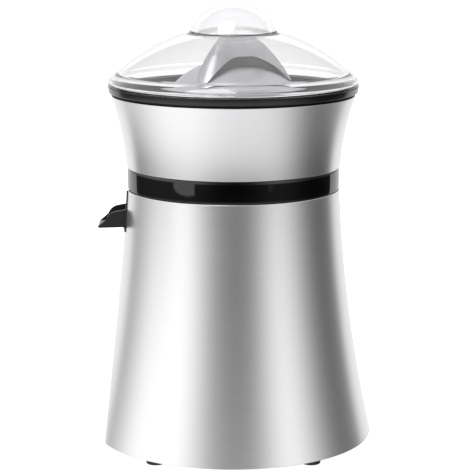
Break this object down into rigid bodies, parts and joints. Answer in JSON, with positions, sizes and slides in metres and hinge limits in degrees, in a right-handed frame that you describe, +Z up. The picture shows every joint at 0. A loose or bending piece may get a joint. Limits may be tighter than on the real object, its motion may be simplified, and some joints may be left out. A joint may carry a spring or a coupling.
{
  "type": "citrus press",
  "caption": "Electric citrus press with a flared steel skirt, steel-clad juice bowl, ribbed cone, open drip-stop spout and clear domed lid.",
  "frame": {"origin": "on the drive axis, at the height of the table under the feet", "axes": "+Z up along the drive axis, -X towards the spout, +Y towards the back where the cord leaves"},
  "size_m": [0.1866, 0.19, 0.3],
  "materials": {
    "brushed_steel": "brushed round the axis",
    "satin_steel": "satin, pressed from sheet",
    "gloss_black_plastic": "polished moulding",
    "black_plastic": "satin moulding",
    "grey_plastic": "moulded",
    "white_plastic": "moulded acetal",
    "clear_plastic": "clear, polished",
    "rubber": "matt",
    "core_steel": "stacked laminations",
    "copper_winding": "enamelled wire",
    "cast_alloy": "die cast",
    "bronze_bush": "sintered",
    "bright_steel": "ground",
    "zinc_screw": "zinc plated",
    "brass_gear": "cut"
  },
  "bodies": {
    "base": {"skirt_shell": "brushed_steel", "slot_frame": "black_plastic", "cord_gland": "rubber", "base_plate": "black_plastic", "base_screws": "zinc_screw", "inner_body": "black_plastic", "deck_bush": "bronze_bush", "shaft_seal": "rubber", "motor_stator": "core_steel", "motor_coil": "copper_winding", "lower_bracket": "cast_alloy", "upper_bracket": "cast_alloy", "motor_bearings": "bronze_bush", "motor_screws": "zinc_screw", "gearbox_case": "grey_plastic", "gearbox_cover": "grey_plastic", "gearbox_screws": "zinc_screw", "idler_axle": "bright_steel", "output_bush": "bronze_bush", "micro_switch": "black_plastic", "terminal_block": "white_plastic", "foot_front_left": "rubber", "foot_front_right": "rubber", "foot_rear_left": "rubber", "foot_rear_right": "rubber"},
    "rotor": {"rotor_core": "core_steel", "rotor_shaft": "bright_steel", "motor_pinion": "brass_gear", "cooling_fan": "grey_plastic"},
    "idler": {"idler_gear": "white_plastic"},
    "output": {"output_gear": "white_plastic"},
    "drive": {"drive_shaft": "bright_steel", "return_spring": "bright_steel"},
    "plunger": {"switch_plunger": "grey_plastic"},
    "bowl": {"bowl_jacket": "brushed_steel", "waist_band": "gloss_black_plastic", "bowl_collar": "black_plastic", "juice_bowl": "black_plastic", "spout_pins": "bright_steel"},
    "spout_flap": {"spout": "black_plastic"},
    "strainer_plate": {"strainer": "black_plastic"},
    "washer": {"thrust_washer": "white_plastic"},
    "cone": {"reamer": "satin_steel", "reamer_hub": "black_plastic", "cone_base": "satin_steel"},
    "cover": {"lid": "clear_plastic"}
  },
  "joints": [
    {"name": "output_spin", "type": "hinge", "parent": "base", "child": "output", "pos_m": [0, 0, 0.12], "axis": [0, 0, 1], "continuous": true},
    {"name": "shaft_press", "type": "slide", "parent": "output", "child": "drive", "axis": [0, 0, 1], "range_m": [-0.003, 0], "stiffness_N_per_m": 1500, "springref_m": 0.0015, "deforming": ["return_spring"]},
    {"name": "idler_spin", "type": "hinge", "parent": "base", "child": "idler", "pos_m": [0, 0.03, 0.11], "axis": [0, 0, 1], "continuous": true},
    {"name": "rotor_spin", "type": "hinge", "parent": "base", "child": "rotor", "pos_m": [0, 0, 0.062], "axis": [0, 0, 1], "continuous": true},
    {"name": "plunger_press", "type": "slide", "parent": "base", "child": "plunger", "axis": [0, 0, 1], "range_m": [-0.003, 0]},
    {"name": "bowl_lift", "type": "slide", "parent": "base", "child": "bowl", "axis": [0, 0, 1], "range_m": [0, 0.11]},
    {"name": "spout_tilt", "type": "hinge", "parent": "bowl", "child": "spout_flap", "pos_m": [-0.0715, 0, 0.1534], "axis": [0, 1, 0], "range_deg": [0, 20]},
    {"name": "strainer_lift", "type": "slide", "parent": "bowl", "child": "strainer_plate", "axis": [0, 0, 1], "range_m": [0, 0.06]},
    {"name": "cone_press", "type": "slide", "parent": "strainer_plate", "child": "washer", "axis": [0, 0, 1], "range_m": [-0.003, 0]},
    {"name": "cone_spin", "type": "hinge", "parent": "washer", "child": "cone", "pos_m": [0, 0, 0.246], "axis": [0, 0, 1], "continuous": true},
    {"name": "lid_lift", "type": "slide", "parent": "strainer_plate", "child": "cover", "axis": [0, 0, 1], "range_m": [0, 0.09]}
  ],
  "couplings": [
    {"joint": "idler_spin", "follows": "output_spin", "ratio": -3},
    {"joint": "rotor_spin", "follows": "output_spin", "ratio": 15.75},
    {"joint": "cone_spin", "follows": "output_spin", "ratio": 1},
    {"joint": "cone_press", "follows": "shaft_press", "ratio": 1},
    {"joint": "plunger_press", "follows": "shaft_press", "ratio": 1}
  ]
}
